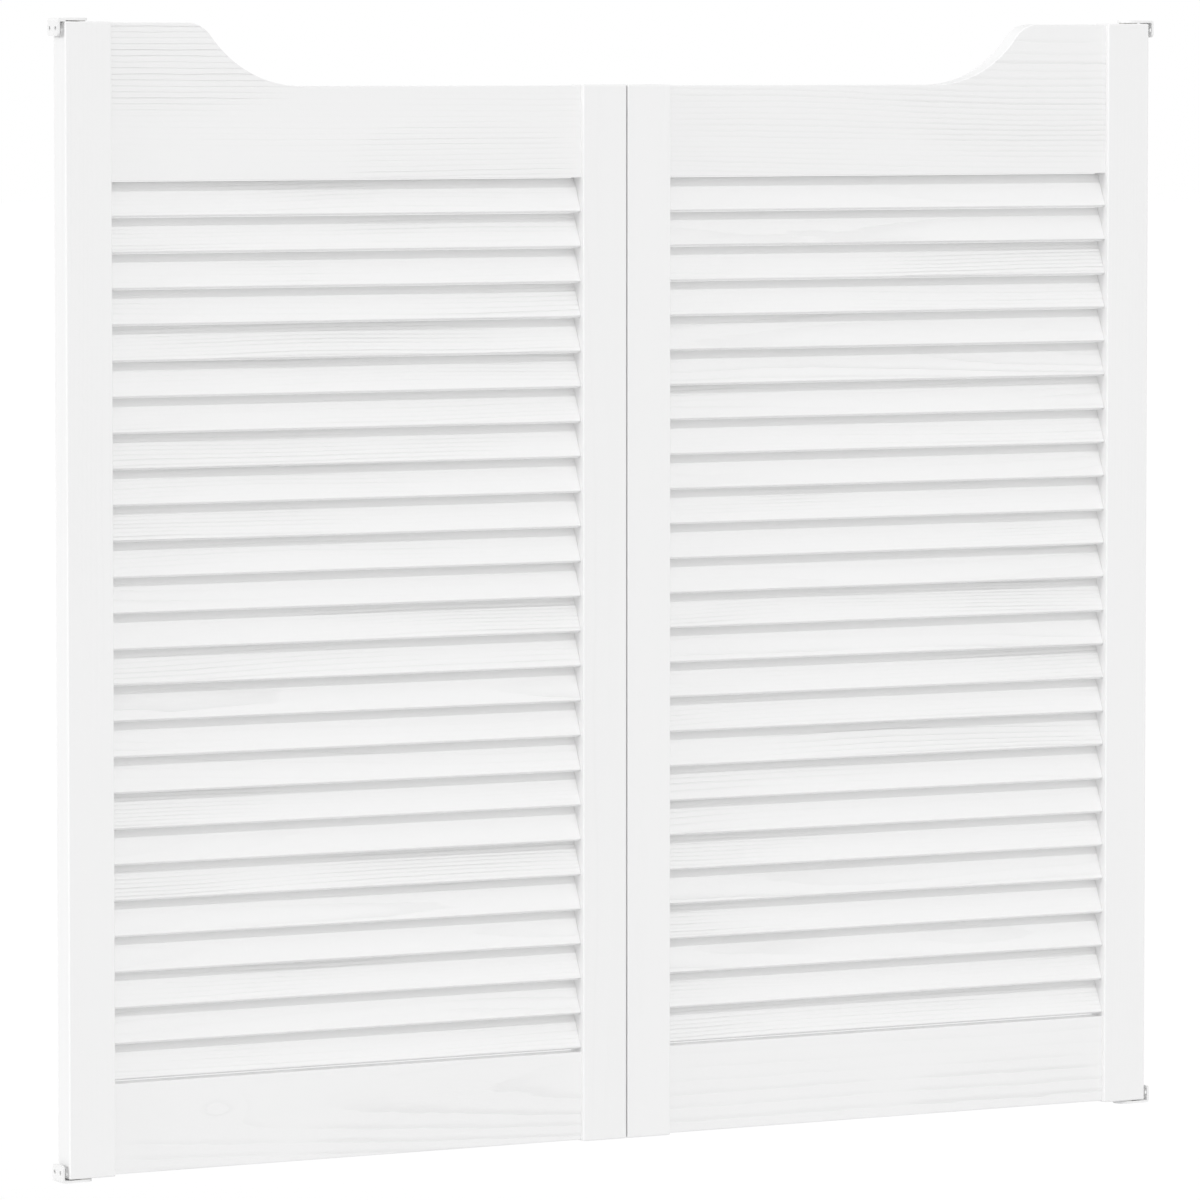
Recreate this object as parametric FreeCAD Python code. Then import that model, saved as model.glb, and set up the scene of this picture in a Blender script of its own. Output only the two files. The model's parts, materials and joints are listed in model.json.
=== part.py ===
import FreeCAD, Part
import math
import os

# A pair of louvred swing doors for a doorway, with the spring pivots that carry them.
# X runs across the doorway, Y from the front to the back, and Z up.
# The origin is midway between the two leaves, at the middle of their thickness and
# level with the underside of the bottom brackets. All sizes are in millimetres.
# Everything is drawn for the left leaf, and the right leaf is its mirror image.

# The pair of leaves
pair_width = 1000.0
leaf_gap = 0.9
leaf_height = 900.0

# Stiles: the two uprights of a leaf. The outer one carries the pivots.
stile_width = 40.0
stile_thickness = 21.0
stile_edge_radius = 1.2

# Rails: the boards across the top and the bottom of a leaf
rail_front_inset = 4.0
rail_edge_radius = 0.8
top_rail_inset = 0.7
top_rail_low_height = 73.5
bottom_rail_inset = 1.0
bottom_rail_height = 71.1

# The swept top edge: a flat run beside the outer stile, a round shoulder, then a hollow
shoulder_drop = 49.5
shoulder_run = 68.0
shoulder_radius = 25.0
hollow_radius = 99.0

# Slats: leaning boards, their lower edge to the front
slat_count = 25
slats_per_group = 5
slat_thickness = 4.6
slat_edge_radius = 0.8
slat_rise = 27.6
slat_front_inset = 4.3
slat_rear_inset = 0.9
slat_top_gap = 0.7
slat_foot_gap = 2.3
slat_shoulder_gap = 0.1
tenon_length = 8.0
tenon_shoulder = 4.0
tenon_fit = 0.15
tenon_end_gap = 0.5

# Dowels between rails and stiles
dowel_radius = 4.0
dowel_in_rail = 24.0
dowel_end_gap = 0.5
dowel_fit = 0.05
dowel_chamfer = 1.0
dowel_edge_distance = 18.0
dowel_pitch = 36.0
dowel_web = 2.5

# Fits of the pivot hardware
running_clearance = 0.05
seat_clearance = 0.03
swing_clearance = 0.6
pivot_inset = 14.0
pivot_radius = 3.5

# Brackets on the door jambs
bracket_thickness = 2.0
bracket_width = 18.0
bracket_plate_height = 14.0
bracket_bend_radius = 0.4
bracket_corner_radius = 3.0
jamb_hole_radius = 1.7
jamb_hole_sink = 1.2
jamb_hole_pitch = 10.0
jamb_hole_end_distance = 6.0

# Bottom pivot: a fixed spindle, and a torsion spring in a housing in the stile
washer_thickness = 0.8
washer_radius = 8.0
spindle_height = 20.0
spindle_tail_radius = 2.5
spindle_chamfer = 0.5
housing_radius = 7.0
housing_wall = 1.0
housing_length = 70.0
housing_end_gap = 1.0
flange_thickness = 1.5
flange_width = 16.0
flange_outer_reach = 9.0
flange_inner_reach = 18.0
flange_corner_radius = 2.0
pivot_bush_length = 12.0
torsion_wire_radius = 1.0
torsion_mean_radius = 4.8
torsion_turns = 10
tang_slot_clearance = 0.2
tang_slot_depth = 3.0
tang_length = 3.2
anchor_plug_length = 8.0
anchor_boss_length = 4.0

# Screws of the housing flange
screw_radius = 1.5
screw_head_radius = 3.0
screw_length = 14.0
screw_tip_length = 3.0
screw_offset = 12.0
screw_spacing = 10.0
screw_slot_width = 0.7
screw_slot_depth = 0.7

# Top pivot: a sprung pin in a barrel in the stile
top_gap = 0.8
barrel_radius = 6.0
barrel_wall = 1.0
barrel_length = 55.0
barrel_end_gap = 1.0
guide_length = 8.0
pin_chamfer = 0.6
pin_collar_length = 4.0
pin_collar_clearance = 0.3
pin_tail_radius = 2.2
pin_tail_length = 10.0
pin_spring_wire_radius = 0.4
pin_spring_mean_radius = 3.6
pin_spring_turns = 12
cap_length = 3.5
bush_wall = 2.0
bush_flange_radius = 7.5
bush_flange_thickness = 0.6

# Places worked out from the sizes above
front = -stile_thickness / 2
rear = stile_thickness / 2
outer_edge = -pair_width / 2
leaf_width = (pair_width - leaf_gap) / 2
inner_edge = outer_edge + leaf_width
pivot_x = outer_edge + pivot_inset
leaf_base = bracket_thickness + washer_thickness
leaf_top = leaf_base + leaf_height
low_top = leaf_top - shoulder_drop
field_left = outer_edge + stile_width
field_right = inner_edge - stile_width
rail_front = front + rail_front_inset
rail_middle = (rail_front + rear) / 2
top_rail_low = low_top - top_rail_inset - top_rail_low_height
bottom_rail_base = leaf_base + bottom_rail_inset
bottom_rail_top = bottom_rail_base + bottom_rail_height
corner_reach = stile_edge_radius + math.hypot(
    pivot_inset - stile_edge_radius, stile_thickness / 2 - stile_edge_radius
)
plate_face = pivot_x - corner_reach - swing_clearance
top_arm_base = leaf_top + top_gap
barrel_base = leaf_top - barrel_length
guide_base = leaf_top - guide_length
housing_top = leaf_base + housing_length
dowel_in_stile = stile_width - pivot_inset - housing_radius - dowel_web - dowel_end_gap

# The lean of a slat follows from its rise and from the depth that it fills. Its thickness
# takes part of both, so the lean is found in a few passes.
slat_depth = stile_thickness - slat_front_inset - slat_rear_inset
slat_middle = front + slat_front_inset + slat_depth / 2
slat_core = slat_thickness - 2 * slat_edge_radius
slat_lean = 0.0
for lean_pass in range(20):
    core_depth = slat_depth - 2 * slat_edge_radius - slat_core * math.cos(slat_lean)
    core_rise = slat_rise - 2 * slat_edge_radius - slat_core * math.sin(slat_lean)
    slat_lean = math.atan2(core_depth, core_rise)
slat_width = math.hypot(core_depth, core_rise) + 2 * slat_edge_radius
tenon_radius = slat_thickness / 2
tenon_half_run = slat_width / 2 - tenon_shoulder - tenon_radius
highest_slat = top_rail_low - slat_top_gap - slat_rise / 2
lowest_slat = bottom_rail_top + slat_foot_gap + slat_rise / 2
slat_pitch = (highest_slat - lowest_slat) / (slat_count - 1)


def vector(x, y, z):
    return FreeCAD.Vector(x, y, z)


def block(x0, x1, y0, y1, z0, z1):
    return Part.makeBox(x1 - x0, y1 - y0, z1 - z0, vector(x0, y0, z0))


def cylinder(radius, z0, z1, x=pivot_x, y=0.0):
    return Part.makeCylinder(radius, z1 - z0, vector(x, y, z0))


def tube(outer_radius, inner_radius, z0, z1):
    return cylinder(outer_radius, z0, z1).cut(cylinder(inner_radius, z0, z1))


def upright_cone(radius0, radius1, z0, z1, x=pivot_x, y=0.0):
    return Part.makeCone(radius0, radius1, z1 - z0, vector(x, y, z0))


def closed_wire(edges):
    return Part.Wire(Part.__sortEdges__(edges))


def line(a, b):
    return Part.makeLine(a, b)


def arc(a, middle, b):
    return Part.Arc(a, middle, b).toShape()


def row(first, pitch, count):
    return [first + pitch * i for i in range(count)]


# Slats


def slat_directions():
    """Unit vectors along a slat's leaning width and across its thickness."""
    along = vector(0, math.sin(slat_lean), math.cos(slat_lean))
    across = vector(0, math.cos(slat_lean), -math.sin(slat_lean))
    return along, across


def slat_board(z):
    """The board between the stiles, with its four long edges eased."""
    along, across = slat_directions()
    x0 = field_left + slat_shoulder_gap
    x1 = field_right - slat_shoulder_gap
    centre = vector(x0, slat_middle, z)
    half_width = along * (slat_width / 2)
    half_thickness = across * (slat_thickness / 2)
    corners = [
        centre - half_width - half_thickness,
        centre + half_width - half_thickness,
        centre + half_width + half_thickness,
        centre - half_width + half_thickness,
    ]
    section = Part.Face(Part.makePolygon(corners + corners[:1]))
    board = section.extrude(vector(x1 - x0, 0, 0))
    long_edges = [e for e in board.Edges if e.BoundBox.XLength > slat_width]
    return board.makeFillet(slat_edge_radius, long_edges)


def tenon_bar(z, growth, x0, x1):
    """A bar with round ends: the tenons of a slat, or a routed pocket when it is given a growth."""
    along, across = slat_directions()
    radius = tenon_radius + growth
    low = vector(x0, slat_middle, z) - along * tenon_half_run
    high = vector(x0, slat_middle, z) + along * tenon_half_run
    edges = [
        line(low + across * radius, high + across * radius),
        arc(high + across * radius, high + along * radius, high - across * radius),
        line(high - across * radius, low - across * radius),
        arc(low - across * radius, low - along * radius, low + across * radius),
    ]
    return Part.Face(closed_wire(edges)).extrude(vector(x1 - x0, 0, 0))


def slat(z):
    tenons = tenon_bar(z, 0.0, field_left - tenon_length, field_right + tenon_length)
    return slat_board(z).fuse(tenons)


def slat_heights():
    return row(highest_slat, -slat_pitch, slat_count)


def tenon_pockets(x0, x1):
    return [tenon_bar(z, tenon_fit, x0, x1) for z in slat_heights()]


def slat_groups():
    heights = slat_heights()
    groups = {}
    for start in range(0, slat_count, slats_per_group):
        chosen = heights[start : start + slats_per_group]
        name = "slats_%02d_to_%02d" % (start + 1, start + len(chosen))
        groups[name] = Part.makeCompound([slat(z) for z in chosen])
    return groups


# Dowels


def dowel_places():
    """(rail, seat, heights) of each joint: seat is where the rail meets the stile."""
    top_first = top_rail_low + dowel_edge_distance
    bottom_first = bottom_rail_base + dowel_edge_distance
    return [
        ("top", field_left, -1, row(top_first, dowel_pitch, 3)),
        ("top", field_right, 1, row(top_first, dowel_pitch, 2)),
        ("bottom", field_left, -1, row(bottom_first, dowel_pitch, 2)),
        ("bottom", field_right, 1, row(bottom_first, dowel_pitch, 2)),
    ]


def dowel(seat, toward_stile, z, growth=0.0, end_gap=0.0, chamfer=dowel_chamfer):
    """A dowel across a joint, or its hole when it is given a growth and an end gap."""
    start = vector(seat - toward_stile * (dowel_in_rail + end_gap), rail_middle, z)
    length = dowel_in_rail + dowel_in_stile + 2 * end_gap
    pin = Part.makeCylinder(dowel_radius + growth, length, start, vector(toward_stile, 0, 0))
    if chamfer:
        ends = [e for e in pin.Edges if isinstance(e.Curve, Part.Circle)]
        pin = pin.makeChamfer(chamfer, ends)
    return pin


def dowels(rail):
    return [
        dowel(seat, toward_stile, z)
        for name, seat, toward_stile, heights in dowel_places()
        if name == rail
        for z in heights
    ]


def dowel_holes():
    return [
        dowel(seat, toward_stile, z, dowel_fit, dowel_end_gap, 0.0)
        for name, seat, toward_stile, heights in dowel_places()
        for z in heights
    ]


# Wooden frame of a leaf


def stile(x0, z1):
    body = block(x0, x0 + stile_width, front, rear, leaf_base, z1)
    return body.makeFillet(stile_edge_radius, body.Edges)


def outer_stile():
    pockets = tenon_pockets(field_left - tenon_length - tenon_end_gap, field_left)
    housing_bore = cylinder(
        housing_radius + seat_clearance, leaf_base, housing_top + housing_end_gap
    )
    barrel_bore = cylinder(
        barrel_radius + seat_clearance, barrel_base - barrel_end_gap, leaf_top
    )
    flange_recess = flange(seat_clearance)
    tools = pockets + dowel_holes() + screw_holes()
    tools += [housing_bore, barrel_bore, flange_recess]
    return stile(outer_edge, leaf_top).cut(tools)


def inner_stile():
    pockets = tenon_pockets(field_right, field_right + tenon_length + tenon_end_gap)
    return stile(field_right, low_top).cut(pockets + dowel_holes())


def rounded_board(outline):
    """A board of the rails' thickness with its front and back edges eased, but not its ends."""
    board = Part.Face(outline).extrude(vector(0, rear - rail_front, 0))
    middle = (field_left + field_right) / 2
    eased = []
    for edge in board.Edges:
        box = edge.BoundBox
        along_face = box.YLength < rail_edge_radius / 2
        at_an_end = abs(abs(box.Center.x - middle) - (field_right - middle)) < rail_edge_radius / 2
        if along_face and not at_an_end:
            eased.append(edge)
    return board.makeFillet(rail_edge_radius, eased)


def top_rail():
    high = leaf_top - top_rail_inset
    low = low_top - top_rail_inset
    turn = math.acos(1 - shoulder_drop / (shoulder_radius + hollow_radius))
    start = field_left + shoulder_run
    join_x = start + shoulder_radius * math.sin(turn)
    end = join_x + hollow_radius * math.sin(turn)

    def shoulder(angle):
        x = start + shoulder_radius * math.sin(angle)
        return vector(x, rail_front, high - shoulder_radius * (1 - math.cos(angle)))

    def hollow(angle):
        x = end - hollow_radius * math.sin(angle)
        return vector(x, rail_front, low + hollow_radius * (1 - math.cos(angle)))

    corners = [
        vector(field_left, rail_front, top_rail_low),
        vector(field_left, rail_front, high),
        vector(start, rail_front, high),
    ]
    last_corners = [
        vector(end, rail_front, low),
        vector(field_right, rail_front, low),
        vector(field_right, rail_front, top_rail_low),
    ]
    edges = [
        line(corners[0], corners[1]),
        line(corners[1], corners[2]),
        arc(shoulder(0), shoulder(turn / 2), shoulder(turn)),
        arc(hollow(turn), hollow(turn / 2), hollow(0)),
        line(last_corners[0], last_corners[1]),
        line(last_corners[1], last_corners[2]),
        line(last_corners[2], corners[0]),
    ]
    return rounded_board(closed_wire(edges)).cut(dowel_holes())


def bottom_rail():
    corners = [
        vector(field_left, rail_front, bottom_rail_base),
        vector(field_left, rail_front, bottom_rail_top),
        vector(field_right, rail_front, bottom_rail_top),
        vector(field_right, rail_front, bottom_rail_base),
    ]
    edges = [line(corners[i - 1], corners[i]) for i in range(len(corners))]
    return rounded_board(closed_wire(edges)).cut(dowel_holes())


# Springs


def coil(mean_radius, wire_radius, z0, z1, turns):
    path = Part.makeHelix((z1 - z0) / turns, z1 - z0, mean_radius)
    climb = vector(0, 2 * math.pi * mean_radius, (z1 - z0) / turns)
    section = Part.makeCircle(wire_radius, vector(mean_radius, 0, 0), climb)
    spring = Part.Wire(path).makePipeShell([Part.Wire(section)], True, True)
    spring.translate(vector(pivot_x, 0, z0))
    return spring


def torsion_spring():
    z0 = spindle_top() - tang_slot_depth / 2
    z1 = anchor_boss_base() + tang_slot_depth / 2
    spring = coil(torsion_mean_radius, torsion_wire_radius, z0, z1, torsion_turns)
    for z in (z0, z1):
        root = vector(pivot_x + torsion_mean_radius, 0, z)
        tang = Part.makeCylinder(torsion_wire_radius, tang_length, root, vector(-1, 0, 0))
        spring = spring.fuse(tang)
    return spring


def pin_spring():
    z0 = barrel_base + cap_length + pin_spring_wire_radius
    z1 = pin_collar_base() - pin_spring_wire_radius
    return coil(pin_spring_mean_radius, pin_spring_wire_radius, z0, z1, pin_spring_turns)


def tang_slot(z0, z1):
    half_width = torsion_wire_radius + tang_slot_clearance
    reach = torsion_mean_radius
    return block(pivot_x - reach, pivot_x + reach, -half_width, half_width, z0, z1)


# Bottom pivot


def spindle_top():
    return bracket_thickness + spindle_height


def anchor_boss_base():
    return housing_top - anchor_plug_length - anchor_boss_length


def bottom_spindle():
    top = spindle_top()
    shaft = cylinder(pivot_radius, bracket_thickness, top - spindle_chamfer)
    tip = upright_cone(pivot_radius, pivot_radius - spindle_chamfer, top - spindle_chamfer, top)
    tail = cylinder(spindle_tail_radius, 0.0, bracket_thickness)
    return shaft.fuse([tip, tail]).cut(tang_slot(top - tang_slot_depth, top))


def thrust_washer():
    return tube(washer_radius, pivot_radius + running_clearance, bracket_thickness, leaf_base)


def flange(growth=0.0):
    plate = block(
        pivot_x - flange_outer_reach - growth,
        pivot_x + flange_inner_reach + growth,
        -flange_width / 2 - growth,
        flange_width / 2 + growth,
        leaf_base,
        leaf_base + flange_thickness + growth,
    )
    uprights = [e for e in plate.Edges if e.BoundBox.ZLength > flange_thickness / 2]
    return plate.makeFillet(flange_corner_radius + growth, uprights)


def spring_housing():
    inner_radius = housing_radius - housing_wall
    shell = cylinder(housing_radius, leaf_base, housing_top).fuse(flange())
    return shell.cut([cylinder(inner_radius, leaf_base, housing_top)] + screw_heads(seat_clearance))


def pivot_bush():
    outer_radius = housing_radius - housing_wall - seat_clearance
    inner_radius = pivot_radius + running_clearance
    return tube(outer_radius, inner_radius, leaf_base, leaf_base + pivot_bush_length)


def spring_anchor():
    plug_radius = housing_radius - housing_wall - seat_clearance
    plug_base = housing_top - anchor_plug_length
    plug = cylinder(plug_radius, plug_base, housing_top)
    boss = cylinder(pivot_radius, anchor_boss_base(), plug_base)
    slot = tang_slot(anchor_boss_base(), anchor_boss_base() + tang_slot_depth)
    return plug.fuse(boss).cut(slot)


def screw_places():
    x = pivot_x + screw_offset
    return [(x, -screw_spacing / 2), (x, screw_spacing / 2)]


def screw_heads(growth=0.0):
    heads = []
    for x, y in screw_places():
        sink = upright_cone(
            screw_head_radius + growth,
            screw_radius + growth,
            leaf_base,
            leaf_base + flange_thickness,
            x,
            y,
        )
        heads.append(sink)
    return heads


def screw_holes():
    radius = screw_radius + seat_clearance
    depth = screw_length + seat_clearance
    return [cylinder(radius, leaf_base, leaf_base + depth, x, y) for x, y in screw_places()]


def screw(x, y, head):
    shank_end = leaf_base + screw_length - screw_tip_length
    shank = cylinder(screw_radius, leaf_base + flange_thickness, shank_end, x, y)
    tip = upright_cone(screw_radius, 0.0, shank_end, leaf_base + screw_length, x, y)
    half = screw_slot_width / 2
    reach = screw_head_radius * 2 / 3
    slot_top = leaf_base + screw_slot_depth
    slots = [
        block(x - reach, x + reach, y - half, y + half, leaf_base, slot_top),
        block(x - half, x + half, y - reach, y + reach, leaf_base, slot_top),
    ]
    return head.fuse([shank, tip]).cut(slots)


def flange_screws():
    return [screw(x, y, head) for (x, y), head in zip(screw_places(), screw_heads())]


# Top pivot


def pin_collar_base():
    return guide_base - pin_collar_length


def pivot_barrel():
    return tube(barrel_radius, barrel_radius - barrel_wall, barrel_base, leaf_top)


def barrel_cap():
    radius = barrel_radius - barrel_wall - seat_clearance
    return cylinder(radius, barrel_base, barrel_base + cap_length)


def pin_guide():
    outer_radius = barrel_radius - barrel_wall - seat_clearance
    return tube(outer_radius, pivot_radius + running_clearance, guide_base, leaf_top)


def pivot_pin():
    tip_base = pin_top() - pin_chamfer
    collar_radius = barrel_radius - barrel_wall - pin_collar_clearance
    shaft = cylinder(pivot_radius, guide_base, tip_base)
    tip = upright_cone(pivot_radius, pivot_radius - pin_chamfer, tip_base, pin_top())
    collar = cylinder(collar_radius, pin_collar_base(), guide_base)
    tail = cylinder(pin_tail_radius, pin_collar_base() - pin_tail_length, pin_collar_base())
    return shaft.fuse([tip, collar, tail])


def pin_top():
    return top_arm_base + bracket_thickness


def bracket_bush():
    outer_radius = pivot_radius + bush_wall
    flange_base = top_arm_base - bush_flange_thickness
    sleeve = cylinder(outer_radius, top_arm_base, top_arm_base + bracket_thickness)
    collar = cylinder(bush_flange_radius, flange_base, top_arm_base)
    bore = cylinder(pivot_radius + running_clearance, flange_base, pin_top())
    return sleeve.fuse(collar).cut(bore)


# Brackets


def jamb_hole(y, z):
    """A countersunk hole through the plate, its wide mouth towards the leaf."""
    away = vector(-1, 0, 0)
    mouth = vector(plate_face, y, z)
    through = Part.makeCylinder(jamb_hole_radius, bracket_thickness, mouth, away)
    mouth_radius = jamb_hole_radius + jamb_hole_sink
    sink = Part.makeCone(mouth_radius, jamb_hole_radius, jamb_hole_sink, mouth, away)
    return through.fuse(sink)


def bracket(arm_base, plate_end, arm_hole_radius):
    """An angle bracket. Its arm reaches over the pivot, and its plate runs to plate_end."""
    arm_top = arm_base + bracket_thickness
    toward_end = 1 if plate_end > arm_base else -1
    corner = arm_base if toward_end > 0 else arm_top
    back = plate_face - bracket_thickness
    half = bracket_width / 2
    plate = block(back, plate_face, -half, half, *sorted((corner, plate_end)))
    free_corners = [
        e
        for e in plate.Edges
        if e.BoundBox.XLength > bracket_thickness / 2
        and abs(e.BoundBox.Center.z - plate_end) < bracket_thickness / 2
    ]
    plate = plate.makeFillet(bracket_corner_radius, free_corners)
    arm = block(back, pivot_x, -half, half, arm_base, arm_top)
    arm = arm.fuse(cylinder(half, arm_base, arm_top))
    angle = plate.fuse(arm).removeSplitter()
    inner_z = arm_top if toward_end > 0 else arm_base
    angle = round_bend(angle, plate_face, inner_z, bracket_bend_radius)
    angle = round_bend(angle, back, corner, bracket_bend_radius + bracket_thickness)
    holes = [cylinder(arm_hole_radius, arm_base, arm_top)]
    hole_z = plate_end - toward_end * jamb_hole_end_distance
    holes += [jamb_hole(y, hole_z) for y in (-jamb_hole_pitch / 2, jamb_hole_pitch / 2)]
    return angle.cut(holes)


def round_bend(angle, x, z, radius):
    """The same bracket with its long bend edge at x, z rounded."""
    bend = [
        e
        for e in angle.Edges
        if e.BoundBox.YLength > bracket_width / 2
        and abs(e.BoundBox.Center.x - x) < bracket_bend_radius / 2
        and abs(e.BoundBox.Center.z - z) < bracket_bend_radius / 2
    ]
    return angle.makeFillet(radius, bend)


def top_bracket():
    plate_end = top_arm_base + bracket_thickness - bracket_plate_height
    return bracket(top_arm_base, plate_end, pivot_radius + bush_wall + seat_clearance)


def bottom_bracket():
    return bracket(0.0, bracket_plate_height, spindle_tail_radius + seat_clearance)


# Every piece of the left side, by name


def pieces():
    return {
        "outer_stile": outer_stile(),
        "inner_stile": inner_stile(),
        "top_rail": top_rail(),
        "bottom_rail": bottom_rail(),
        **slat_groups(),
        "top_rail_dowels": Part.makeCompound(dowels("top")),
        "bottom_rail_dowels": Part.makeCompound(dowels("bottom")),
        "spring_housing": spring_housing(),
        "housing_screws": Part.makeCompound(flange_screws()),
        "pivot_bush": pivot_bush(),
        "torsion_spring": torsion_spring(),
        "spring_anchor": spring_anchor(),
        "pivot_barrel": pivot_barrel(),
        "barrel_cap": barrel_cap(),
        "pin_guide": pin_guide(),
        "pivot_pin": pivot_pin(),
        "pin_spring": pin_spring(),
        "top_bracket": top_bracket(),
        "bracket_bush": bracket_bush(),
        "bottom_bracket": bottom_bracket(),
        "bottom_spindle": bottom_spindle(),
        "thrust_washer": thrust_washer(),
    }


os.makedirs("parts", exist_ok=True)
for name, shape in pieces().items():
    mirrored = shape.mirror(vector(0, 0, 0), vector(1, 0, 0))
    shape.exportStep("parts/left_" + name + ".step")
    mirrored.exportStep("parts/right_" + name + ".step")
    solids = len(shape.Solids)
    print("%-20s solids %d, volume %.1f mm3, valid %s" % (name, solids, shape.Volume, shape.isValid()))
print("slats lean %.2f degrees at a pitch of %.3f" % (math.degrees(slat_lean), slat_pitch))
print("jamb plates face the leaves at x = %.4f and %.4f" % (plate_face, -plate_face))
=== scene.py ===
import json
import math

import bmesh
import bpy
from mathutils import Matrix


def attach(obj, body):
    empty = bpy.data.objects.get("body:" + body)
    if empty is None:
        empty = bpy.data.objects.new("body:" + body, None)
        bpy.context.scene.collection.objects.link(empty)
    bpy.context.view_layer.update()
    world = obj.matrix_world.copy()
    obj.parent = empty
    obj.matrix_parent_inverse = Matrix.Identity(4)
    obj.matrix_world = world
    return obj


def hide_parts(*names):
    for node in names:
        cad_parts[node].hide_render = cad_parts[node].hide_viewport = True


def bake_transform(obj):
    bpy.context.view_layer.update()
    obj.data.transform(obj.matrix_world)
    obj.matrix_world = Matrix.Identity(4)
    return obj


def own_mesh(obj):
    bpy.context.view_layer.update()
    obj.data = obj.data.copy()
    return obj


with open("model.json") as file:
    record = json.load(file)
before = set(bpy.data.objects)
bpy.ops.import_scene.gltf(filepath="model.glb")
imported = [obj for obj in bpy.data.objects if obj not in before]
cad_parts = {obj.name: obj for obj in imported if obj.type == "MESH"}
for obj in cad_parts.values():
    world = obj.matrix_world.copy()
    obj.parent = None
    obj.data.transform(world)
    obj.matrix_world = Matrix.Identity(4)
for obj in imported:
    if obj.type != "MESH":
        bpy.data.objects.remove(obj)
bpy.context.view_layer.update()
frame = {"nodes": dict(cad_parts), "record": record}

nodes = frame["nodes"]
scene = bpy.context.scene
sides = ("left", "right")


# small helpers that build shader nodes
def addNode(tree, kind, settings=None, inputs=None):
    node = tree.nodes.new(kind)
    for name, value in (settings or {}).items():
        setattr(node, name, value)
    for name, value in (inputs or {}).items():
        socket = node.inputs[name]
        if isinstance(value, bpy.types.NodeSocket):
            tree.links.new(value, socket)
        else:
            socket.default_value = value
    return node


def calc(tree, operation, first, second=0.0, clamp=False):
    return addNode(tree, "ShaderNodeMath", {"operation": operation, "use_clamp": clamp},
                   {0: first, 1: second}).outputs[0]


def vectorCalc(tree, operation, first, second):
    return addNode(tree, "ShaderNodeVectorMath", {"operation": operation},
                   {0: first, 1: second}).outputs["Vector"]


# noise and lucky draws lie round a half, and these move them to lie round nought
def centred(tree, value):
    return calc(tree, "SUBTRACT", value, 0.5)


def centredVector(tree, vector):
    return vectorCalc(tree, "SUBTRACT", vector, (0.5, 0.5, 0.5))


def distance(tree, vector):
    return addNode(tree, "ShaderNodeVectorMath", {"operation": "LENGTH"},
                   {0: vector}).outputs["Value"]


def remap(tree, value, low, high, toLow=0.0, toHigh=1.0):
    return addNode(tree, "ShaderNodeMapRange", {"interpolation_type": "SMOOTHSTEP"}, {
        "Value": value, "From Min": low, "From Max": high,
        "To Min": toLow, "To Max": toHigh}).outputs["Result"]


def noise(tree, vector, scale, detail=2.0, roughness=0.5):
    return addNode(tree, "ShaderNodeTexNoise", None, {
        "Vector": vector, "Scale": scale, "Detail": detail, "Roughness": roughness}).outputs


def luckyDraw(tree, number):
    return addNode(tree, "ShaderNodeTexWhiteNoise", {"noise_dimensions": "1D"},
                   {"W": number}).outputs


def bump(tree, height, depth, below=None):
    inputs = {"Height": height, "Distance": depth, "Strength": 1.0}
    if below is not None:
        inputs["Normal"] = below
    return addNode(tree, "ShaderNodeBump", None, inputs).outputs[0]


def mixColours(tree, share, first, second):
    return addNode(tree, "ShaderNodeMix", {"data_type": "RGBA"},
                   {0: share, 6: first, 7: second}).outputs[2]


def newGroup(name, inputs, outputs):
    group = bpy.data.node_groups.new(name, "ShaderNodeTree")
    for label, kind, value in inputs:
        socket = group.interface.new_socket(label, in_out="INPUT", socket_type=kind)
        socket.default_value = value
    for label, kind in outputs:
        group.interface.new_socket(label, in_out="OUTPUT", socket_type=kind)
    return group


def emptyTree(owner):
    owner.use_nodes = True
    owner.node_tree.nodes.clear()
    return owner.node_tree


# pine grain: the rings of a tree, cut by the board. The first number of a stretch is
# along the grain, and a smaller one makes the pattern longer there.
pine = {
    "driftStretch": (1.0, 5.0, 5.0),
    "driftScale": 1.6,             # how quickly the rings drift along the board
    "driftNoise": (2.0, 0.45),     # detail and roughness, as for the other noises
    "knotStretch": (0.45, 1.0, 1.0),
    "knotPush": 0.9,               # how far a knot pushes the rings out, in its own reach
    "knotShown": 0.6,
    "frayStretch": (22.0, 160.0, 160.0),
    "frayNoise": (2.0, 0.6),
    "fray": 0.35,                  # share of a ring by which its edge wanders
    "latewoodFrom": 0.42,          # where in a ring the hard dark wood starts
    "latewoodTo": 0.93,
    "latewoodSharpness": 2.0,
    "faintestRing": 0.4,
    "patchStretch": (3.2, 17.0, 17.0),
    "patchNoise": (2.0, 0.5),
    "patchFrom": 0.42,
    "patchTo": 0.66,
    "leastShown": 0.12,
    "boldStretch": (0.35, 1.0, 1.0),
    "boldCore": 0.6,               # a bold area fades out from this share of its reach
    "boldStrength": {"Bold": 1.0, "Second Bold": 0.6},
    "endGrainFade": 0.8,
    "fibreScale": 1800.0,
    "fibreStretch": 0.02,          # fibres are 50 times longer than wide
    "fibreNoise": (3.0, 0.6),
    "fibreInGrain": 0.5,
    "fibreElsewhere": 0.12,
    "toneStretch": (2.0, 14.0, 14.0),
    "toneNoise": (1.0, 0.5),
}
farAway = (9, 0, 0)          # where a knot or bold area goes that a board doesn't have
plainBoard = {
    "ring": 0.004, "wander": 0.01, "calm": 0.5, "knot": farAway, "knotReach": 0.02,
    "bold": farAway, "boldReach": 0.1, "second": farAway, "secondReach": 0.1,
}


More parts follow.
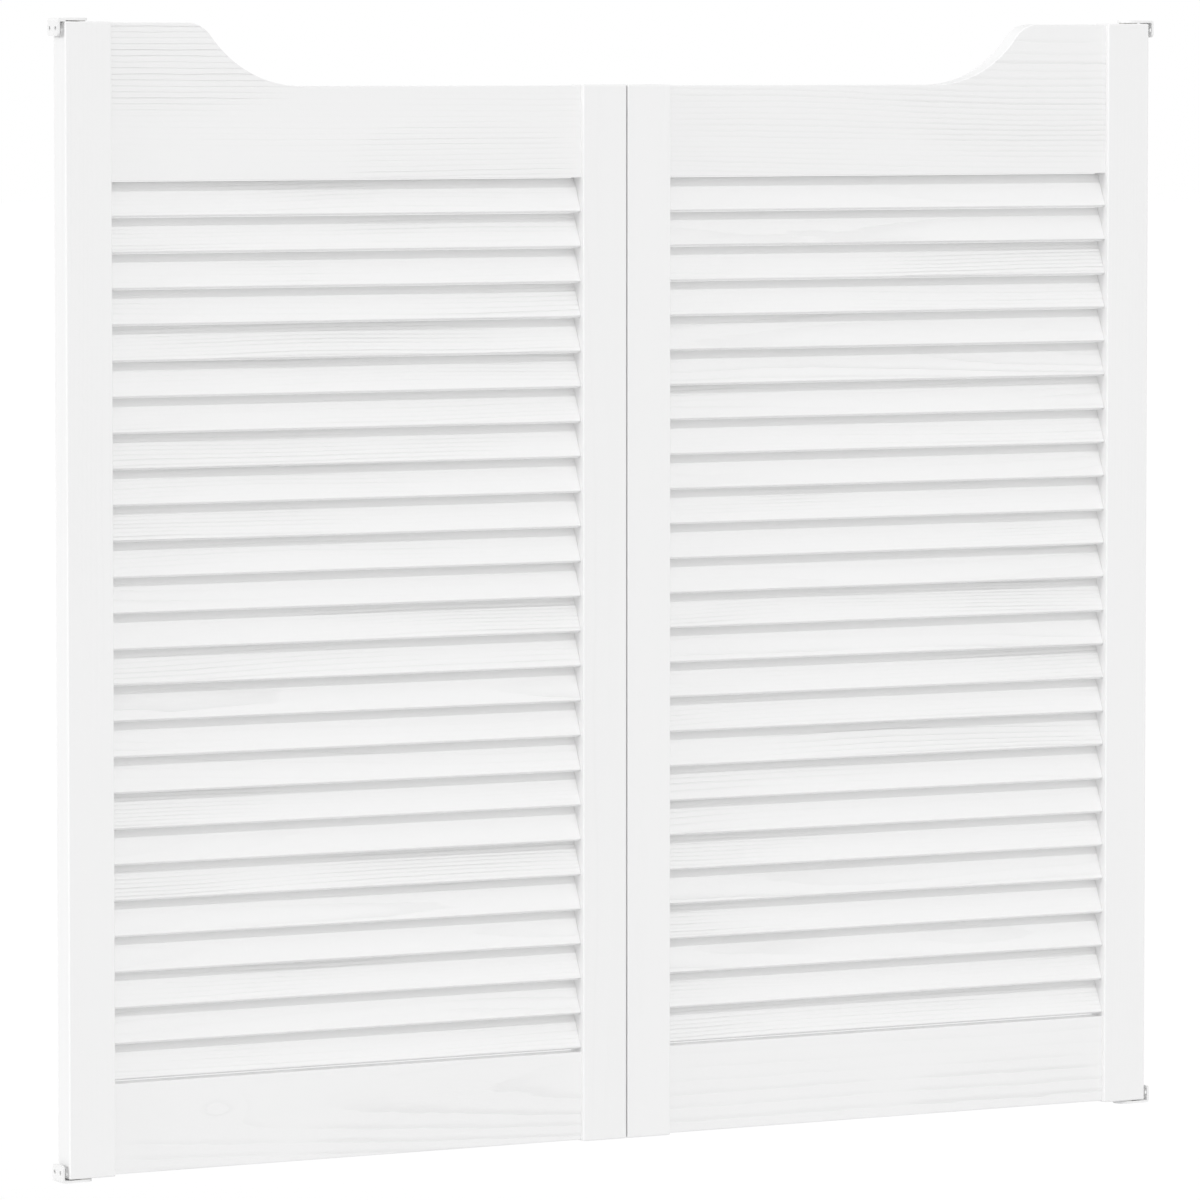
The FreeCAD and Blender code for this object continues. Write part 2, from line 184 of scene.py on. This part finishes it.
def makePineGrain():
    t = newGroup("pineGrain", [
        ("Vector", "NodeSocketVector", (0, 0, 0)),     # x runs along the grain
        ("Ring", "NodeSocketFloat", plainBoard["ring"]),
        ("Wander", "NodeSocketFloat", plainBoard["wander"]),
        ("Knot", "NodeSocketVector", plainBoard["knot"]),
        ("Knot Reach", "NodeSocketFloat", plainBoard["knotReach"]),
        ("Bold", "NodeSocketVector", plainBoard["bold"]),
        ("Bold Reach", "NodeSocketFloat", plainBoard["boldReach"]),
        ("Second Bold", "NodeSocketVector", plainBoard["second"]),
        ("Second Bold Reach", "NodeSocketFloat", plainBoard["secondReach"]),
        ("Calm", "NodeSocketFloat", plainBoard["calm"]),
        ("End Grain", "NodeSocketFloat", 0.0),         # 1 where the surface cuts across the fibres
    ], [("Height", "NodeSocketFloat"), ("Line", "NodeSocketFloat"), ("Tone", "NodeSocketFloat")])
    put = addNode(t, "NodeGroupInput").outputs
    place = put["Vector"]

    def stretched(name, vector=place):
        return vectorCalc(t, "MULTIPLY", vector, pine[name])

    def rest(value):
        return calc(t, "SUBTRACT", 1.0, value)

    drift = noise(t, stretched("driftStretch"), pine["driftScale"], *pine["driftNoise"])
    wander = addNode(t, "ShaderNodeVectorMath", {"operation": "SCALE"}, {
        0: centredVector(t, drift["Color"]), "Scale": put["Wander"]}).outputs["Vector"]
    moved = addNode(t, "ShaderNodeSeparateXYZ", None,
                    {0: vectorCalc(t, "ADD", place, wander)}).outputs
    radius = distance(t, addNode(t, "ShaderNodeCombineXYZ", None,
                                 {0: 0.0, 1: moved["Y"], 2: moved["Z"]}).outputs[0])

    # a knot pushes the rings outward round itself
    toKnot = stretched("knotStretch", vectorCalc(t, "SUBTRACT", place, put["Knot"]))
    knotRatio = calc(t, "DIVIDE", distance(t, toKnot), put["Knot Reach"])
    knotSquare = calc(t, "MULTIPLY", knotRatio, knotRatio)
    bulge = calc(t, "EXPONENT", calc(t, "MULTIPLY", knotSquare, -1.0))
    push = calc(t, "MULTIPLY", put["Knot Reach"], pine["knotPush"])
    radius = calc(t, "ADD", radius, calc(t, "MULTIPLY", bulge, push))

    fray = centred(t, noise(t, stretched("frayStretch"), 1.0, *pine["frayNoise"])["Fac"])
    ring = calc(t, "ADD", calc(t, "DIVIDE", radius, put["Ring"]),
                calc(t, "MULTIPLY", fray, pine["fray"]))
    inRing = calc(t, "FRACT", ring)
    rise = remap(t, inRing, pine["latewoodFrom"], pine["latewoodTo"])
    drop = remap(t, inRing, pine["latewoodTo"], 1.0, 1.0, 0.0)
    latewood = calc(t, "MULTIPLY", calc(t, "POWER", rise, pine["latewoodSharpness"]), drop)
    ringLuck = luckyDraw(t, calc(t, "FLOOR", ring))["Value"]
    ringStrength = calc(t, "ADD", calc(t, "MULTIPLY", ringLuck, 1.0 - pine["faintestRing"]),
                        pine["faintestRing"])
    latewood = calc(t, "MULTIPLY", latewood, ringStrength)

    # some of the board shows its grain plainly, the rest is nearly smooth under the paint
    patch = noise(t, stretched("patchStretch"), 1.0, *pine["patchNoise"])["Fac"]
    patchy = remap(t, patch, pine["patchFrom"], pine["patchTo"], pine["leastShown"], 1.0)
    patchy = calc(t, "MULTIPLY", patchy, rest(put["Calm"]))
    shown = calc(t, "MAXIMUM", patchy, calc(t, "MULTIPLY", bulge, pine["knotShown"]))
    for area, strength in pine["boldStrength"].items():
        toArea = stretched("boldStretch", vectorCalc(t, "SUBTRACT", place, put[area]))
        areaRatio = calc(t, "DIVIDE", distance(t, toArea), put[area + " Reach"])
        bold = remap(t, areaRatio, pine["boldCore"], 1.0, 1.0, 0.0)
        shown = calc(t, "MAXIMUM", shown, calc(t, "MULTIPLY", bold, strength))
    shown = calc(t, "MULTIPLY", shown,
                 rest(calc(t, "MULTIPLY", put["End Grain"], pine["endGrainFade"])))
    line = calc(t, "MULTIPLY", latewood, shown)

    across = pine["fibreScale"]
    fibreAt = vectorCalc(t, "MULTIPLY", place, (across * pine["fibreStretch"], across, across))
    fibre = centred(t, noise(t, fibreAt, 1.0, *pine["fibreNoise"])["Fac"])
    fibreShown = calc(t, "ADD", calc(t, "MULTIPLY", shown, pine["fibreInGrain"]),
                      pine["fibreElsewhere"])
    fibre = calc(t, "MULTIPLY", calc(t, "MULTIPLY", fibre, fibreShown), rest(put["End Grain"]))
    addNode(t, "NodeGroupOutput", None, {
        "Height": calc(t, "SUBTRACT", fibre, line), "Line": line,
        "Tone": noise(t, stretched("toneStretch"), 1.0, *pine["toneNoise"])["Fac"]})
    return t


pineGrain = makePineGrain()
print("grain group ready")


# skin of a finish: soft orange peel, and sheen that changes slowly
sheenScale = 0.035           # of the scale of the peel, so the sheen's pattern is broader


def makePaintSkin():
    t = newGroup("paintSkin", [
        ("Vector", "NodeSocketVector", (0, 0, 0)),
        ("Size", "NodeSocketFloat", 0.002),
    ], [("Height", "NodeSocketFloat"), ("Sheen", "NodeSocketFloat")])
    put = addNode(t, "NodeGroupInput").outputs
    scale = calc(t, "DIVIDE", 1.0, put["Size"])
    peel = noise(t, put["Vector"], scale)["Fac"]
    sheen = noise(t, put["Vector"], calc(t, "MULTIPLY", scale, sheenScale))["Fac"]
    addNode(t, "NodeGroupOutput", None, {
        "Height": centred(t, peel), "Sheen": sheen})
    return t


paintSkin = makePaintSkin()
print("paint skin group ready")


# painted pine, one material for each board or run of slats
paint = {
    "colour": (0.862, 0.862, 0.862, 1.0),
    "colourInGrain": (0.800, 0.800, 0.800, 1.0),
    "grainInColour": 0.9,
    "toneInColour": 0.10,
    "roughness": (0.40, 0.52),
    "endGrainFacing": (0.02, 0.30),    # how far a face turns towards the grain's ends
    "toneSpread": (0.3, 0.7),
    "sheenSpread": (0.35, 0.65),
    "relief": 0.00034,       # depth of the grain under the paint
    "peel": 0.000012,
    "peelSize": 0.0016,
    "ior": 1.48,
}


# every slat is cut from wood of its own, so its pattern jumps to another place
def slatPlace(t, place, look):
    z = addNode(t, "ShaderNodeSeparateXYZ", None, {0: place}).outputs["Z"]
    aboveFirst = calc(t, "SUBTRACT", z, look["firstFoot"])
    number = calc(t, "FLOOR", calc(t, "DIVIDE", aboveFirst, look["pitch"]))
    luck = luckyDraw(t, calc(t, "ADD", number, look["seed"]))["Color"]
    jump = vectorCalc(t, "MULTIPLY", centredVector(t, luck), look["jump"])
    foot = calc(t, "ADD", calc(t, "MULTIPLY", number, look["pitch"]), look["firstFoot"])
    level = addNode(t, "ShaderNodeCombineXYZ", None, {0: 0.0, 1: 0.0, 2: foot}).outputs[0]
    return vectorCalc(t, "ADD", vectorCalc(t, "SUBTRACT", place, level), jump)


def paintedPine(name, look):
    look = {**plainBoard, **look}
    material = bpy.data.materials.new(name)
    t = emptyTree(material)
    coordinates = addNode(t, "ShaderNodeTexCoord").outputs
    place = coordinates["Object"]
    facing = addNode(t, "ShaderNodeSeparateXYZ", None,
                     {0: coordinates["Normal"]}).outputs[look["along"]]
    board = slatPlace(t, place, look) if "pitch" in look else place
    board = addNode(t, "ShaderNodeMapping", {"vector_type": "POINT"}, {
        "Vector": board, "Location": look["pith"], "Rotation": look["turn"]}).outputs[0]
    grain = addNode(t, "ShaderNodeGroup", {"node_tree": pineGrain}, {
        "Vector": board, "Ring": look["ring"], "Wander": look["wander"], "Calm": look["calm"],
        "End Grain": remap(t, calc(t, "ABSOLUTE", facing), *paint["endGrainFacing"]),
        "Knot": look["knot"], "Knot Reach": look["knotReach"],
        "Bold": look["bold"], "Bold Reach": look["boldReach"],
        "Second Bold": look["second"], "Second Bold Reach": look["secondReach"]}).outputs
    skin = addNode(t, "ShaderNodeGroup", {"node_tree": paintSkin}, {
        "Vector": place, "Size": paint["peelSize"]}).outputs
    tone = remap(t, grain["Tone"], *paint["toneSpread"], 0.0, paint["toneInColour"])
    lines = calc(t, "MULTIPLY", grain["Line"], paint["grainInColour"])
    colour = mixColours(t, calc(t, "ADD", lines, tone, clamp=True),
                        paint["colour"], paint["colourInGrain"])
    peel = bump(t, skin["Height"], paint["peel"])
    shader = addNode(t, "ShaderNodeBsdfPrincipled", None, {
        "Base Color": colour, "IOR": paint["ior"],
        "Roughness": remap(t, skin["Sheen"], *paint["sheenSpread"], *paint["roughness"]),
        "Normal": bump(t, grain["Height"], paint["relief"] * look["depth"], peel)})
    addNode(t, "ShaderNodeOutputMaterial", None, {"Surface": shader.outputs[0]})
    return material


def dress(name, material):
    materials = nodes[name].data.materials
    materials.clear()
    materials.append(material)


# pith is where the middle of the tree lies from the board, and bold and second are where
# the grain shows most, both in metres
unturned = (0.0, 0.0, 0.0)
quarter = math.pi / 2
rails = {
    "left_top_rail": {
        "pith": (0.0, 0.004, -0.62), "turn": unturned,
        "ring": 0.0044, "wander": 0.012, "calm": 0.70, "depth": 0.95,
        "bold": (-0.41, 0.0, 0.256), "boldReach": 0.054,
        "second": (-0.15, 0.0, 0.174), "secondReach": 0.045},
    "right_top_rail": {
        "pith": (0.0, 0.0665, -0.915), "turn": (0.0, -0.012, 0.0),
        "ring": 0.0036, "wander": 0.020, "calm": 0.45, "depth": 0.78,
        "bold": (0.38, 0.060, -0.072), "boldReach": 0.062,
        "second": (0.15, 0.060, -0.076), "secondReach": 0.052},
    "left_bottom_rail": {
        "pith": (0.0, -0.0255, -0.052), "turn": (0.0, 0.0, 0.0413),
        "ring": 0.0062, "wander": 0.008, "calm": 0.60, "depth": 0.90,
        "bold": (-0.14, -0.040, -0.046), "boldReach": 0.066,
        "second": (-0.38, -0.044, -0.032), "secondReach": 0.030,
        "knot": (-0.367, -0.0472, -0.002), "knotReach": 0.011},
    "right_bottom_rail": {
        "pith": (0.0, 0.012, -0.187), "turn": unturned,
        "ring": 0.0110, "wander": 0.020, "calm": 0.55, "depth": 0.90,
        "bold": (0.37, 0.0, -0.172), "boldReach": 0.045,
        "second": (0.13, 0.0, -0.166), "secondReach": 0.050},
}
for name, look in rails.items():
    dress(name, paintedPine(name + "Paint", dict(look, along="X")))

# a stile's grain runs up and down, so its pattern is turned on its side
stiles = {
    "left_outer_stile": {"pith": (0.0, 0.03, -0.455), "ring": 0.0034,
                         "wander": 0.018, "calm": 0.80},
    "left_inner_stile": {"pith": (0.0, -0.04, -0.01), "ring": 0.0040,
                         "wander": 0.018, "calm": 0.78},
    "right_inner_stile": {"pith": (0.0, 0.05, 0.015), "ring": 0.0036,
                          "wander": 0.020, "calm": 0.80},
    "right_outer_stile": {"pith": (0.0, 0.02, 0.52), "ring": 0.0034,
                          "wander": 0.018, "calm": 0.80},
}
stileDepth = 0.8
for name, look in stiles.items():
    dress(name, paintedPine(name + "Paint", dict(
        look, turn=(0.0, quarter, 0.0), along="Z", depth=stileDepth)))

slats = {
    "groups": ("slats_01_to_05", "slats_06_to_10", "slats_11_to_15",
               "slats_16_to_20", "slats_21_to_25"),
    "seeds": {"left": 3.0, "right": 71.0},
    "look": {"pitch": 0.028067, "firstFoot": 0.0771, "jump": (8.0, 0.05, 0.10),
             "pith": (0.0, 0.035, 0.0), "turn": unturned, "along": "X",
             "ring": 0.0034, "wander": 0.024, "calm": 0.08, "depth": 1.0},
}
for side, seed in slats["seeds"].items():
    slatPaint = paintedPine(side + "SlatPaint", dict(slats["look"], seed=seed))
    for group in slats["groups"]:
        dress(f"{side}_{group}", slatPaint)
print("boards and slats painted")


# finishes of the hardware and of the dowels
spread = {"sheen": (0.3, 0.7), "peel": (-0.2, 0.2)}


def plainFinish(name, look):
    material = bpy.data.materials.new(name)
    t = emptyTree(material)
    place = addNode(t, "ShaderNodeTexCoord").outputs["Object"]
    along = addNode(t, "ShaderNodeMapping", None,
                    {"Vector": place, "Scale": look["stretch"]}).outputs[0]
    skin = addNode(t, "ShaderNodeGroup", {"node_tree": paintSkin}, {
        "Vector": along, "Size": look["size"]}).outputs
    colour = mixColours(t, remap(t, skin["Sheen"], *spread["sheen"]),
                        (*look["colour"], 1.0), (*look["second"], 1.0))
    shader = addNode(t, "ShaderNodeBsdfPrincipled", None, {
        "Base Color": colour, "Metallic": look["metallic"],
        "Roughness": remap(t, skin["Height"], *spread["peel"], *look["roughness"]),
        "Normal": bump(t, skin["Height"], look["bump"])})
    addNode(t, "ShaderNodeOutputMaterial", None, {"Surface": shader.outputs[0]})
    return material


finishes = {
    "white_coated_steel": {
        "colour": (0.86, 0.86, 0.86), "second": (0.83, 0.83, 0.83), "metallic": 0.0,
        "size": 0.0006, "stretch": (1, 1, 1), "roughness": (0.34, 0.46), "bump": 0.00002},
    "zinc_plated_steel": {
        "colour": (0.60, 0.61, 0.63), "second": (0.50, 0.51, 0.54), "metallic": 1.0,
        "size": 0.0008, "stretch": (1, 1, 0.06), "roughness": (0.26, 0.42), "bump": 0.000006},
    "spring_steel": {
        "colour": (0.30, 0.30, 0.31), "second": (0.22, 0.22, 0.24), "metallic": 1.0,
        "size": 0.0005, "stretch": (1, 1, 1), "roughness": (0.28, 0.40), "bump": 0.000004},
    "white_nylon": {
        "colour": (0.80, 0.79, 0.76), "second": (0.77, 0.76, 0.72), "metallic": 0.0,
        "size": 0.0005, "stretch": (1, 1, 1), "roughness": (0.42, 0.56), "bump": 0.00001},
    "beech": {
        "colour": (0.56, 0.36, 0.20), "second": (0.48, 0.29, 0.15), "metallic": 0.0,
        "size": 0.0009, "stretch": (0.05, 1, 1), "roughness": (0.5, 0.7), "bump": 0.00003},
}
made = {slot: plainFinish(slot.title().replace("_", ""), look)
        for slot, look in finishes.items()}
for part in frame["record"]["subparts"]:
    if part["material_slot"] in made:
        dress(part["node"], made[part["material_slot"]])
print("hardware finished")


# springs: swinging a leaf winds one up, and its pin presses the other together. Both stand
# on the axis that the leaf turns about.
springs = {
    "heldEnd": 0.0021,       # this much of each end of a torsion spring stays in its slot
    "weld": 0.000001,        # joins corners that lie this close
}


def copySpring(node):
    piece = bpy.data.objects.new(node + "_wire", nodes[node].data.copy())
    scene.collection.objects.link(piece)
    bm = bmesh.new()
    bm.from_mesh(piece.data)
    bmesh.ops.remove_doubles(bm, verts=bm.verts, dist=springs["weld"])
    for face in bm.faces:
        face.smooth = True
    bm.to_mesh(piece.data)
    bm.free()
    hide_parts(node)
    return piece


for side in sides:
    leaf = side + "_leaf"
    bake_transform(copySpring(side + "_torsion_spring"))
    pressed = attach(copySpring(side + "_pin_spring"), leaf)
    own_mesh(pressed)


# floor, lights and camera
room = {
    "floorRadius": 60.0,
    "floorSides": 96,
    "floorDrop": 0.30,       # the doors hang at this height
    "floorColour": (0.86, 0.86, 0.86, 1.0),
    "floorLift": 0.19,       # only for the camera and for reflections
    "skyLight": 0.715,
    "skySeen": 1.0,
    "lamps": {               # share of full light, height, degrees to the left, softness
        "key": (0.184, 44.5, 4.0, 1.2),
        "frontFill": (0.120, 15.0, 0.0, 50.0),
        "sideFill": (0.312, 15.0, 88.0, 12.0),
    },
}


# 1 for the camera and for what metal and gloss mirror, 0 for the light on the object
def seenDirectly(tree):
    path = addNode(tree, "ShaderNodeLightPath").outputs
    mirrored = calc(tree, "MAXIMUM", path["Is Glossy Ray"], path["Is Transmission Ray"])
    return calc(tree, "MAXIMUM", path["Is Camera Ray"], mirrored)


bm = bmesh.new()
bmesh.ops.create_circle(bm, cap_ends=True, segments=room["floorSides"],
                        radius=room["floorRadius"])
for v in bm.verts:
    v.co.z = -room["floorDrop"]
floorMesh = bpy.data.meshes.new("floor")
bm.to_mesh(floorMesh)
bm.free()
floor = bpy.data.objects.new("floor", floorMesh)
scene.collection.objects.link(floor)

floorMaterial = bpy.data.materials.new("paleFloor")
t = emptyTree(floorMaterial)
matt = addNode(t, "ShaderNodeBsdfDiffuse", None, {"Color": room["floorColour"]})
lift = addNode(t, "ShaderNodeEmission", None, {
    "Strength": calc(t, "MULTIPLY", seenDirectly(t), room["floorLift"])})
both = addNode(t, "ShaderNodeAddShader", None, {0: matt.outputs[0], 1: lift.outputs[0]})
addNode(t, "ShaderNodeOutputMaterial", None, {"Surface": both.outputs[0]})
floorMesh.materials.append(floorMaterial)

world = bpy.data.worlds.new("studio")
scene.world = world
t = emptyTree(world)
strength = addNode(t, "ShaderNodeMapRange", None, {
    "Value": seenDirectly(t), "To Min": room["skyLight"],
    "To Max": room["skySeen"]}).outputs["Result"]
sky = addNode(t, "ShaderNodeBackground", None, {
    "Color": (1.0, 1.0, 1.0, 1.0), "Strength": strength})
addNode(t, "ShaderNodeOutputWorld", None, {"Surface": sky.outputs[0]})

for name, (share, elevation, azimuth, softness) in room["lamps"].items():
    lampData = bpy.data.lights.new(name, "SUN")
    lampData.energy = share * math.pi
    lampData.angle = math.radians(softness)
    lamp = bpy.data.objects.new(name, lampData)
    lamp.rotation_euler = (math.radians(90.0 - elevation), 0.0, -math.radians(azimuth))
    scene.collection.objects.link(lamp)

shot = {
    "place": (-3.2735, -5.7221, 0.8755),
    "pitch": 0.0662,         # down, in radians
    "yaw": 0.5171,           # to the right, in radians
    "lens": 245.8,
    "sensor": 36.0,
    "reach": 500.0,
}
cameraData = bpy.data.cameras.new("shot")
cameraData.lens = shot["lens"]
cameraData.sensor_width = shot["sensor"]
cameraData.clip_end = shot["reach"]
camera = bpy.data.objects.new("shot", cameraData)
camera.location = shot["place"]
camera.rotation_euler = (quarter - shot["pitch"], 0.0, -shot["yaw"])
scene.collection.objects.link(camera)
scene.camera = camera
scene.view_settings.view_transform = "Standard"
print("room and camera ready")
